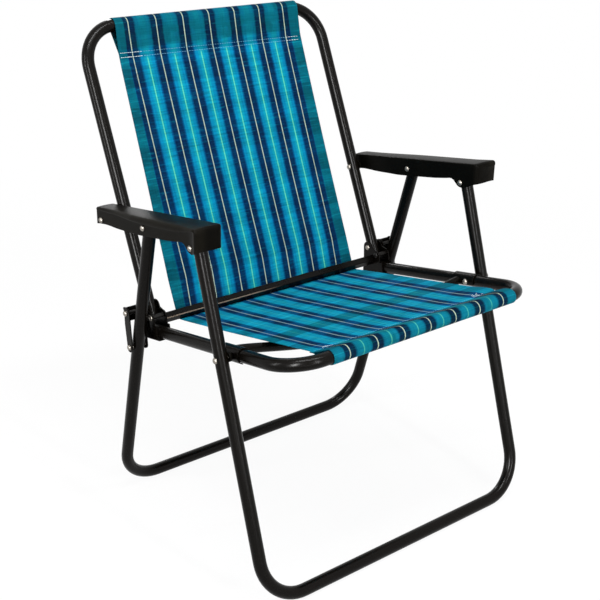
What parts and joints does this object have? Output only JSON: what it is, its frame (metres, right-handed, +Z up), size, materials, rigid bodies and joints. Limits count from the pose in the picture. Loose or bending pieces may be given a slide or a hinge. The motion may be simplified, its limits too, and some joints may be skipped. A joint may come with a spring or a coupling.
{
  "type": "folding lawn chair",
  "caption": "Folding sling chair: four bent tube frames riveted to two moulded armrests and two links, with a striped cloth seat and back.",
  "frame": {"origin": "centre of the chair's box on the floor", "axes": "+Z up, the sitter faces -Y, +X to the sitter's left"},
  "size_m": [0.5596, 0.548, 0.742],
  "materials": {
    "black_tube": "semi-gloss black paint",
    "black_sheet": "semi-gloss black paint",
    "rivet_steel": "zinc plated",
    "bush_plastic": "matt",
    "arm_plastic": "matt moulded",
    "sling_cloth": "woven stripes"
  },
  "bodies": {
    "seat": {"seat_frame": "black_tube", "rear_cross_bar": "black_tube", "under_seat_brace": "black_sheet", "sling_seat": "sling_cloth", "seat_bracket_left": "black_sheet", "seat_bracket_right": "black_sheet", "back_hinge_pin_left": "rivet_steel", "back_hinge_pin_right": "rivet_steel", "back_hinge_spacer_left": "bush_plastic", "back_hinge_spacer_right": "bush_plastic", "stop_rivet_left": "rivet_steel", "stop_rivet_right": "rivet_steel", "front_leg_rivet_left": "rivet_steel", "front_leg_rivet_right": "rivet_steel", "front_leg_bush_left": "bush_plastic", "front_leg_bush_right": "bush_plastic"},
    "back": {"back_frame": "black_tube", "sling_back": "sling_cloth", "arm_rear_rivet_left": "rivet_steel", "arm_rear_rivet_right": "rivet_steel", "arm_rear_washer_left": "bush_plastic", "arm_rear_washer_right": "bush_plastic"},
    "front_legs": {"front_leg_frame": "black_tube"},
    "rear_legs": {"rear_leg_frame": "black_tube"},
    "arm_on_left": {"armrest_left": "arm_plastic", "arm_front_rivet_outer_left": "rivet_steel", "arm_front_rivet_inner_left": "rivet_steel", "arm_middle_rivet_left": "rivet_steel"},
    "link_on_left": {"link_left": "black_sheet", "link_rivet_outer_left": "rivet_steel", "link_rivet_inner_left": "rivet_steel"},
    "arm_on_right": {"armrest_right": "arm_plastic", "arm_front_rivet_outer_right": "rivet_steel", "arm_front_rivet_inner_right": "rivet_steel", "arm_middle_rivet_right": "rivet_steel"},
    "link_on_right": {"link_right": "black_sheet", "link_rivet_outer_right": "rivet_steel", "link_rivet_inner_right": "rivet_steel"}
  },
  "joints": [
    {"name": "back_fold", "type": "hinge", "parent": "seat", "child": "back", "pos_m": [0, 0.0883, 0.3397], "axis": [1, 0, 0], "range_deg": [0, 92]},
    {"name": "front_leg_fold", "type": "hinge", "parent": "seat", "child": "front_legs", "pos_m": [0, -0.14131, 0.34988], "axis": [1, 0, 0], "range_deg": [0, 85]},
    {"name": "arm_fold_left", "type": "hinge", "parent": "back", "child": "arm_on_left", "pos_m": [0, 0.14664, 0.47048], "axis": [1, 0, 0], "range_deg": [-89.7, 0]},
    {"name": "arm_fold_right", "type": "hinge", "parent": "back", "child": "arm_on_right", "pos_m": [0, 0.14664, 0.47048], "axis": [1, 0, 0], "range_deg": [-89.7, 0]},
    {"name": "rear_leg_fold", "type": "hinge", "parent": "arm_on_left", "child": "rear_legs", "pos_m": [0, 0.02714, 0.49178], "axis": [1, 0, 0], "range_deg": [0, 53]},
    {"name": "link_fold_left", "type": "hinge", "parent": "seat", "child": "link_on_left", "pos_m": [0, 0.0883, 0.3397], "axis": [1, 0, 0], "range_deg": [-78.6, 0]},
    {"name": "link_fold_right", "type": "hinge", "parent": "seat", "child": "link_on_right", "pos_m": [0, 0.0883, 0.3397], "axis": [1, 0, 0], "range_deg": [-78.6, 0]}
  ],
  "couplings": [
    {"joint": "front_leg_fold", "follows": "back_fold", "ratio": 0.92283},
    {"joint": "arm_fold_left", "follows": "back_fold", "ratio": -0.97391},
    {"joint": "arm_fold_right", "follows": "back_fold", "ratio": -0.97391},
    {"joint": "rear_leg_fold", "follows": "back_fold", "ratio": 0.575},
    {"joint": "link_fold_left", "follows": "back_fold", "ratio": -0.85326},
    {"joint": "link_fold_right", "follows": "back_fold", "ratio": -0.85326}
  ]
}
